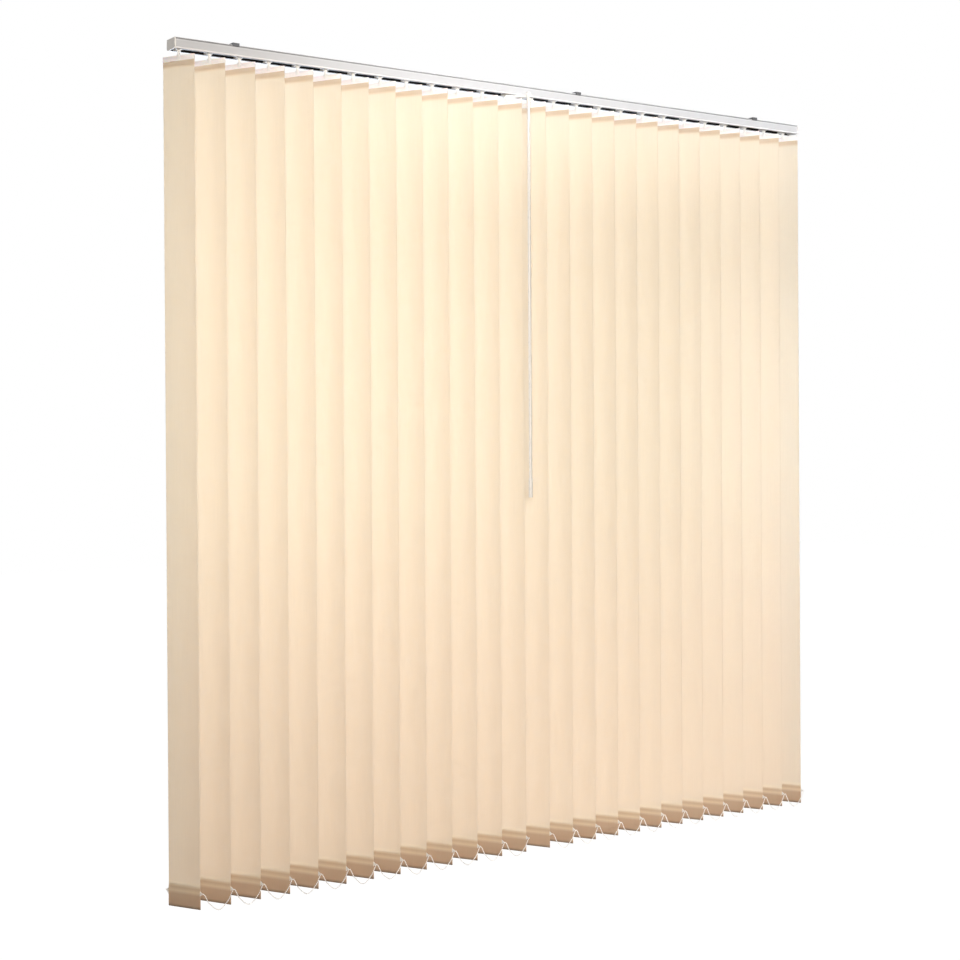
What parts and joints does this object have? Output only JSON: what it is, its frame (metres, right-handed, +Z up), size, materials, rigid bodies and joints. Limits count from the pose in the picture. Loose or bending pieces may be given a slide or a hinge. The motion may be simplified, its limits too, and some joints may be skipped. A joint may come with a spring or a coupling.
{
  "type": "vertical blind",
  "caption": "Vertical blind: cream fabric slats hang from a white ceiling rail, turn together with a wand and draw back to both sides, linked by chains at their feet.",
  "frame": {"origin": "midway between the screw holes of the two outer ceiling clips, on the ceiling plane", "axes": "+X along the rail to the right as seen from the room, +Y towards the window, +Z up"},
  "size_m": [1.9929, 0.1006, 2.0056],
  "materials": {
    "rail_enamel": "satin white enamel",
    "white_plastic": "moulded satin",
    "clip_steel": "satin grey",
    "rod_aluminium": "drawn",
    "slat_fabric": "stiffened weave, translucent",
    "chain_plastic": "beaded",
    "wand_plastic": "smooth"
  },
  "bodies": {
    "root": {"headrail": "rail_enamel", "end_caps": "white_plastic", "ceiling_clips": "clip_steel", "end_carriers": "white_plastic"},
    "tilt_rod": {"tilt_rod": "rod_aluminium"},
    "carrier_02": {"carrier_02": "white_plastic"},
    "carrier_03": {"carrier_03": "white_plastic"},
    "carrier_04": {"carrier_04": "white_plastic"},
    "carrier_05": {"carrier_05": "white_plastic"},
    "carrier_06": {"carrier_06": "white_plastic"},
    "carrier_07": {"carrier_07": "white_plastic"},
    "carrier_08": {"carrier_08": "white_plastic"},
    "carrier_09": {"carrier_09": "white_plastic"},
    "carrier_10": {"carrier_10": "white_plastic"},
    "carrier_11": {"carrier_11": "white_plastic"},
    "carrier_12": {"carrier_12": "white_plastic"},
    "carrier_13": {"carrier_13": "white_plastic"},
    "carrier_14": {"carrier_14": "white_plastic"},
    "carrier_15": {"carrier_15": "white_plastic"},
    "carrier_16": {"carrier_16": "white_plastic"},
    "carrier_17": {"carrier_17": "white_plastic"},
    "carrier_18": {"carrier_18": "white_plastic"},
    "carrier_19": {"carrier_19": "white_plastic"},
    "carrier_20": {"carrier_20": "white_plastic"},
    "carrier_21": {"carrier_21": "white_plastic"},
    "carrier_22": {"carrier_22": "white_plastic"},
    "carrier_23": {"carrier_23": "white_plastic"},
    "carrier_24": {"carrier_24": "white_plastic"},
    "carrier_25": {"carrier_25": "white_plastic"},
    "slat_01": {"slat_01": "slat_fabric"},
    "slat_02": {"slat_02": "slat_fabric"},
    "slat_03": {"slat_03": "slat_fabric"},
    "slat_04": {"slat_04": "slat_fabric"},
    "slat_05": {"slat_05": "slat_fabric"},
    "slat_06": {"slat_06": "slat_fabric"},
    "slat_07": {"slat_07": "slat_fabric"},
    "slat_08": {"slat_08": "slat_fabric"},
    "slat_09": {"slat_09": "slat_fabric"},
    "slat_10": {"slat_10": "slat_fabric"},
    "slat_11": {"slat_11": "slat_fabric"},
    "slat_12": {"slat_12": "slat_fabric"},
    "slat_13": {"slat_13": "slat_fabric"},
    "slat_14": {"slat_14": "slat_fabric"},
    "slat_15": {"slat_15": "slat_fabric"},
    "slat_16": {"slat_16": "slat_fabric"},
    "slat_17": {"slat_17": "slat_fabric"},
    "slat_18": {"slat_18": "slat_fabric"},
    "slat_19": {"slat_19": "slat_fabric"},
    "slat_20": {"slat_20": "slat_fabric"},
    "slat_21": {"slat_21": "slat_fabric"},
    "slat_22": {"slat_22": "slat_fabric"},
    "slat_23": {"slat_23": "slat_fabric"},
    "slat_24": {"slat_24": "slat_fabric"},
    "slat_25": {"slat_25": "slat_fabric"},
    "slat_26": {"slat_26": "slat_fabric"},
    "front_chain_left": {"front_chain_left": "chain_plastic"},
    "back_chain_left": {"back_chain_left": "chain_plastic"},
    "front_chain_right": {"front_chain_right": "chain_plastic"},
    "back_chain_right": {"back_chain_right": "chain_plastic"},
    "wand": {"wand": "wand_plastic"}
  },
  "joints": [
    {"name": "slat_tilt", "type": "hinge", "parent": "root", "child": "slat_01", "pos_m": [-0.9625, 0, 0], "axis": [0, 0, 1], "range_deg": [-105, 49]},
    {"name": "draw_left", "type": "slide", "parent": "root", "child": "carrier_13", "axis": [-1, 0, 0], "range_m": [0, 0.708], "deforming": ["front_chain_left", "back_chain_left"]},
    {"name": "draw_right", "type": "slide", "parent": "root", "child": "carrier_14", "axis": [1, 0, 0], "range_m": [0, 0.708], "deforming": ["front_chain_right", "back_chain_right"]},
    {"name": "carrier_slide_02", "type": "slide", "parent": "root", "child": "carrier_02", "axis": [-1, 0, 0], "range_m": [0, 0.05901]},
    {"name": "carrier_slide_03", "type": "slide", "parent": "root", "child": "carrier_03", "axis": [-1, 0, 0], "range_m": [0, 0.11801]},
    {"name": "carrier_slide_04", "type": "slide", "parent": "root", "child": "carrier_04", "axis": [-1, 0, 0], "range_m": [0, 0.17701]},
    {"name": "carrier_slide_05", "type": "slide", "parent": "root", "child": "carrier_05", "axis": [-1, 0, 0], "range_m": [0, 0.23601]},
    {"name": "carrier_slide_06", "type": "slide", "parent": "root", "child": "carrier_06", "axis": [-1, 0, 0], "range_m": [0, 0.29501]},
    {"name": "carrier_slide_07", "type": "slide", "parent": "root", "child": "carrier_07", "axis": [-1, 0, 0], "range_m": [0, 0.35401]},
    {"name": "carrier_slide_08", "type": "slide", "parent": "root", "child": "carrier_08", "axis": [-1, 0, 0], "range_m": [0, 0.41301]},
    {"name": "carrier_slide_09", "type": "slide", "parent": "root", "child": "carrier_09", "axis": [-1, 0, 0], "range_m": [0, 0.47201]},
    {"name": "carrier_slide_10", "type": "slide", "parent": "root", "child": "carrier_10", "axis": [-1, 0, 0], "range_m": [0, 0.53101]},
    {"name": "carrier_slide_11", "type": "slide", "parent": "root", "child": "carrier_11", "axis": [-1, 0, 0], "range_m": [0, 0.59001]},
    {"name": "carrier_slide_12", "type": "slide", "parent": "root", "child": "carrier_12", "axis": [-1, 0, 0], "range_m": [0, 0.64901]},
    {"name": "carrier_slide_15", "type": "slide", "parent": "root", "child": "carrier_15", "axis": [1, 0, 0], "range_m": [0, 0.64901]},
    {"name": "carrier_slide_16", "type": "slide", "parent": "root", "child": "carrier_16", "axis": [1, 0, 0], "range_m": [0, 0.59001]},
    {"name": "carrier_slide_17", "type": "slide", "parent": "root", "child": "carrier_17", "axis": [1, 0, 0], "range_m": [0, 0.53101]},
    {"name": "carrier_slide_18", "type": "slide", "parent": "root", "child": "carrier_18", "axis": [1, 0, 0], "range_m": [0, 0.47201]},
    {"name": "carrier_slide_19", "type": "slide", "parent": "root", "child": "carrier_19", "axis": [1, 0, 0], "range_m": [0, 0.41301]},
    {"name": "carrier_slide_20", "type": "slide", "parent": "root", "child": "carrier_20", "axis": [1, 0, 0], "range_m": [0, 0.35401]},
    {"name": "carrier_slide_21", "type": "slide", "parent": "root", "child": "carrier_21", "axis": [1, 0, 0], "range_m": [0, 0.29501]},
    {"name": "carrier_slide_22", "type": "slide", "parent": "root", "child": "carrier_22", "axis": [1, 0, 0], "range_m": [0, 0.23601]},
    {"name": "carrier_slide_23", "type": "slide", "parent": "root", "child": "carrier_23", "axis": [1, 0, 0], "range_m": [0, 0.17701]},
    {"name": "carrier_slide_24", "type": "slide", "parent": "root", "child": "carrier_24", "axis": [1, 0, 0], "range_m": [0, 0.11801]},
    {"name": "carrier_slide_25", "type": "slide", "parent": "root", "child": "carrier_25", "axis": [1, 0, 0], "range_m": [0, 0.05901]},
    {"name": "slat_tilt_02", "type": "hinge", "parent": "carrier_02", "child": "slat_02", "pos_m": [-0.8855, 0, 0], "axis": [0, 0, 1], "range_deg": [-105, 49]},
    {"name": "slat_tilt_03", "type": "hinge", "parent": "carrier_03", "child": "slat_03", "pos_m": [-0.8085, 0, 0], "axis": [0, 0, 1], "range_deg": [-105, 49]},
    {"name": "slat_tilt_04", "type": "hinge", "parent": "carrier_04", "child": "slat_04", "pos_m": [-0.7315, 0, 0], "axis": [0, 0, 1], "range_deg": [-105, 49]},
    {"name": "slat_tilt_05", "type": "hinge", "parent": "carrier_05", "child": "slat_05", "pos_m": [-0.6545, 0, 0], "axis": [0, 0, 1], "range_deg": [-105, 49]},
    {"name": "slat_tilt_06", "type": "hinge", "parent": "carrier_06", "child": "slat_06", "pos_m": [-0.5775, 0, 0], "axis": [0, 0, 1], "range_deg": [-105, 49]},
    {"name": "slat_tilt_07", "type": "hinge", "parent": "carrier_07", "child": "slat_07", "pos_m": [-0.5005, 0, 0], "axis": [0, 0, 1], "range_deg": [-105, 49]},
    {"name": "slat_tilt_08", "type": "hinge", "parent": "carrier_08", "child": "slat_08", "pos_m": [-0.4235, 0, 0], "axis": [0, 0, 1], "range_deg": [-105, 49]},
    {"name": "slat_tilt_09", "type": "hinge", "parent": "carrier_09", "child": "slat_09", "pos_m": [-0.3465, 0, 0], "axis": [0, 0, 1], "range_deg": [-105, 49]},
    {"name": "slat_tilt_10", "type": "hinge", "parent": "carrier_10", "child": "slat_10", "pos_m": [-0.2695, 0, 0], "axis": [0, 0, 1], "range_deg": [-105, 49]},
    {"name": "slat_tilt_11", "type": "hinge", "parent": "carrier_11", "child": "slat_11", "pos_m": [-0.1925, 0, 0], "axis": [0, 0, 1], "range_deg": [-105, 49]},
    {"name": "slat_tilt_12", "type": "hinge", "parent": "carrier_12", "child": "slat_12", "pos_m": [-0.1155, 0, 0], "axis": [0, 0, 1], "range_deg": [-105, 49]},
    {"name": "slat_tilt_13", "type": "hinge", "parent": "carrier_13", "child": "slat_13", "pos_m": [-0.0385, 0, 0], "axis": [0, 0, 1], "range_deg": [-105, 49]},
    {"name": "slat_tilt_14", "type": "hinge", "parent": "carrier_14", "child": "slat_14", "pos_m": [0.0385, 0, 0], "axis": [0, 0, 1], "range_deg": [-105, 49]},
    {"name": "slat_tilt_15", "type": "hinge", "parent": "carrier_15", "child": "slat_15", "pos_m": [0.1155, 0, 0], "axis": [0, 0, 1], "range_deg": [-105, 49]},
    {"name": "slat_tilt_16", "type": "hinge", "parent": "carrier_16", "child": "slat_16", "pos_m": [0.1925, 0, 0], "axis": [0, 0, 1], "range_deg": [-105, 49]},
    {"name": "slat_tilt_17", "type": "hinge", "parent": "carrier_17", "child": "slat_17", "pos_m": [0.2695, 0, 0], "axis": [0, 0, 1], "range_deg": [-105, 49]},
    {"name": "slat_tilt_18", "type": "hinge", "parent": "carrier_18", "child": "slat_18", "pos_m": [0.3465, 0, 0], "axis": [0, 0, 1], "range_deg": [-105, 49]},
    {"name": "slat_tilt_19", "type": "hinge", "parent": "carrier_19", "child": "slat_19", "pos_m": [0.4235, 0, 0], "axis": [0, 0, 1], "range_deg": [-105, 49]},
    {"name": "slat_tilt_20", "type": "hinge", "parent": "carrier_20", "child": "slat_20", "pos_m": [0.5005, 0, 0], "axis": [0, 0, 1], "range_deg": [-105, 49]},
    {"name": "slat_tilt_21", "type": "hinge", "parent": "carrier_21", "child": "slat_21", "pos_m": [0.5775, 0, 0], "axis": [0, 0, 1], "range_deg": [-105, 49]},
    {"name": "slat_tilt_22", "type": "hinge", "parent": "carrier_22", "child": "slat_22", "pos_m": [0.6545, 0, 0], "axis": [0, 0, 1], "range_deg": [-105, 49]},
    {"name": "slat_tilt_23", "type": "hinge", "parent": "carrier_23", "child": "slat_23", "pos_m": [0.7315, 0, 0], "axis": [0, 0, 1], "range_deg": [-105, 49]},
    {"name": "slat_tilt_24", "type": "hinge", "parent": "carrier_24", "child": "slat_24", "pos_m": [0.8085, 0, 0], "axis": [0, 0, 1], "range_deg": [-105, 49]},
    {"name": "slat_tilt_25", "type": "hinge", "parent": "carrier_25", "child": "slat_25", "pos_m": [0.8855, 0, 0], "axis": [0, 0, 1], "range_deg": [-105, 49]},
    {"name": "slat_tilt_26", "type": "hinge", "parent": "root", "child": "slat_26", "pos_m": [0.9625, 0, 0], "axis": [0, 0, 1], "range_deg": [-105, 49]},
    {"name": "rod_spin", "type": "hinge", "parent": "root", "child": "tilt_rod", "pos_m": [0, 0.009, -0.02], "axis": [1, 0, 0], "range_deg": [-1050, 490]},
    {"name": "wand_twist", "type": "hinge", "parent": "carrier_13", "child": "wand", "pos_m": [0, -0.045, 0], "axis": [0, 0, 1], "range_deg": [-1050, 490]},
    {"name": "front_chain_left_pivot", "type": "hinge", "parent": "slat_01", "child": "front_chain_left", "pos_m": [-0.93728, -0.04743, -1.963], "axis": [0, 0, 1], "range_deg": [-49, 105]},
    {"name": "back_chain_left_pivot", "type": "hinge", "parent": "slat_01", "child": "back_chain_left", "pos_m": [-0.98772, 0.04743, -1.963], "axis": [0, 0, 1], "range_deg": [-49, 105]},
    {"name": "front_chain_right_pivot", "type": "hinge", "parent": "slat_26", "child": "front_chain_right", "pos_m": [0.98772, -0.04743, -1.963], "axis": [0, 0, 1], "range_deg": [-49, 105]},
    {"name": "back_chain_right_pivot", "type": "hinge", "parent": "slat_26", "child": "back_chain_right", "pos_m": [0.93728, 0.04743, -1.963], "axis": [0, 0, 1], "range_deg": [-49, 105]}
  ],
  "couplings": [
    {"joint": "carrier_slide_02", "follows": "draw_left", "ratio": 0.083333},
    {"joint": "carrier_slide_03", "follows": "draw_left", "ratio": 0.16667},
    {"joint": "carrier_slide_04", "follows": "draw_left", "ratio": 0.25},
    {"joint": "carrier_slide_05", "follows": "draw_left", "ratio": 0.33333},
    {"joint": "carrier_slide_06", "follows": "draw_left", "ratio": 0.41667},
    {"joint": "carrier_slide_07", "follows": "draw_left", "ratio": 0.5},
    {"joint": "carrier_slide_08", "follows": "draw_left", "ratio": 0.58333},
    {"joint": "carrier_slide_09", "follows": "draw_left", "ratio": 0.66667},
    {"joint": "carrier_slide_10", "follows": "draw_left", "ratio": 0.75},
    {"joint": "carrier_slide_11", "follows": "draw_left", "ratio": 0.83333},
    {"joint": "carrier_slide_12", "follows": "draw_left", "ratio": 0.91667},
    {"joint": "carrier_slide_15", "follows": "draw_right", "ratio": 0.91667},
    {"joint": "carrier_slide_16", "follows": "draw_right", "ratio": 0.83333},
    {"joint": "carrier_slide_17", "follows": "draw_right", "ratio": 0.75},
    {"joint": "carrier_slide_18", "follows": "draw_right", "ratio": 0.66667},
    {"joint": "carrier_slide_19", "follows": "draw_right", "ratio": 0.58333},
    {"joint": "carrier_slide_20", "follows": "draw_right", "ratio": 0.5},
    {"joint": "carrier_slide_21", "follows": "draw_right", "ratio": 0.41667},
    {"joint": "carrier_slide_22", "follows": "draw_right", "ratio": 0.33333},
    {"joint": "carrier_slide_23", "follows": "draw_right", "ratio": 0.25},
    {"joint": "carrier_slide_24", "follows": "draw_right", "ratio": 0.16667},
    {"joint": "carrier_slide_25", "follows": "draw_right", "ratio": 0.083333},
    {"joint": "slat_tilt_02", "follows": "slat_tilt", "ratio": 1},
    {"joint": "slat_tilt_03", "follows": "slat_tilt", "ratio": 1},
    {"joint": "slat_tilt_04", "follows": "slat_tilt", "ratio": 1},
    {"joint": "slat_tilt_05", "follows": "slat_tilt", "ratio": 1},
    {"joint": "slat_tilt_06", "follows": "slat_tilt", "ratio": 1},
    {"joint": "slat_tilt_07", "follows": "slat_tilt", "ratio": 1},
    {"joint": "slat_tilt_08", "follows": "slat_tilt", "ratio": 1},
    {"joint": "slat_tilt_09", "follows": "slat_tilt", "ratio": 1},
    {"joint": "slat_tilt_10", "follows": "slat_tilt", "ratio": 1},
    {"joint": "slat_tilt_11", "follows": "slat_tilt", "ratio": 1},
    {"joint": "slat_tilt_12", "follows": "slat_tilt", "ratio": 1},
    {"joint": "slat_tilt_13", "follows": "slat_tilt", "ratio": 1},
    {"joint": "slat_tilt_14", "follows": "slat_tilt", "ratio": 1},
    {"joint": "slat_tilt_15", "follows": "slat_tilt", "ratio": 1},
    {"joint": "slat_tilt_16", "follows": "slat_tilt", "ratio": 1},
    {"joint": "slat_tilt_17", "follows": "slat_tilt", "ratio": 1},
    {"joint": "slat_tilt_18", "follows": "slat_tilt", "ratio": 1},
    {"joint": "slat_tilt_19", "follows": "slat_tilt", "ratio": 1},
    {"joint": "slat_tilt_20", "follows": "slat_tilt", "ratio": 1},
    {"joint": "slat_tilt_21", "follows": "slat_tilt", "ratio": 1},
    {"joint": "slat_tilt_22", "follows": "slat_tilt", "ratio": 1},
    {"joint": "slat_tilt_23", "follows": "slat_tilt", "ratio": 1},
    {"joint": "slat_tilt_24", "follows": "slat_tilt", "ratio": 1},
    {"joint": "slat_tilt_25", "follows": "slat_tilt", "ratio": 1},
    {"joint": "slat_tilt_26", "follows": "slat_tilt", "ratio": 1},
    {"joint": "rod_spin", "follows": "slat_tilt", "ratio": 10},
    {"joint": "wand_twist", "follows": "slat_tilt", "ratio": 10},
    {"joint": "front_chain_left_pivot", "follows": "slat_tilt", "ratio": -1},
    {"joint": "back_chain_left_pivot", "follows": "slat_tilt", "ratio": -1},
    {"joint": "front_chain_right_pivot", "follows": "slat_tilt", "ratio": -1},
    {"joint": "back_chain_right_pivot", "follows": "slat_tilt", "ratio": -1}
  ]
}
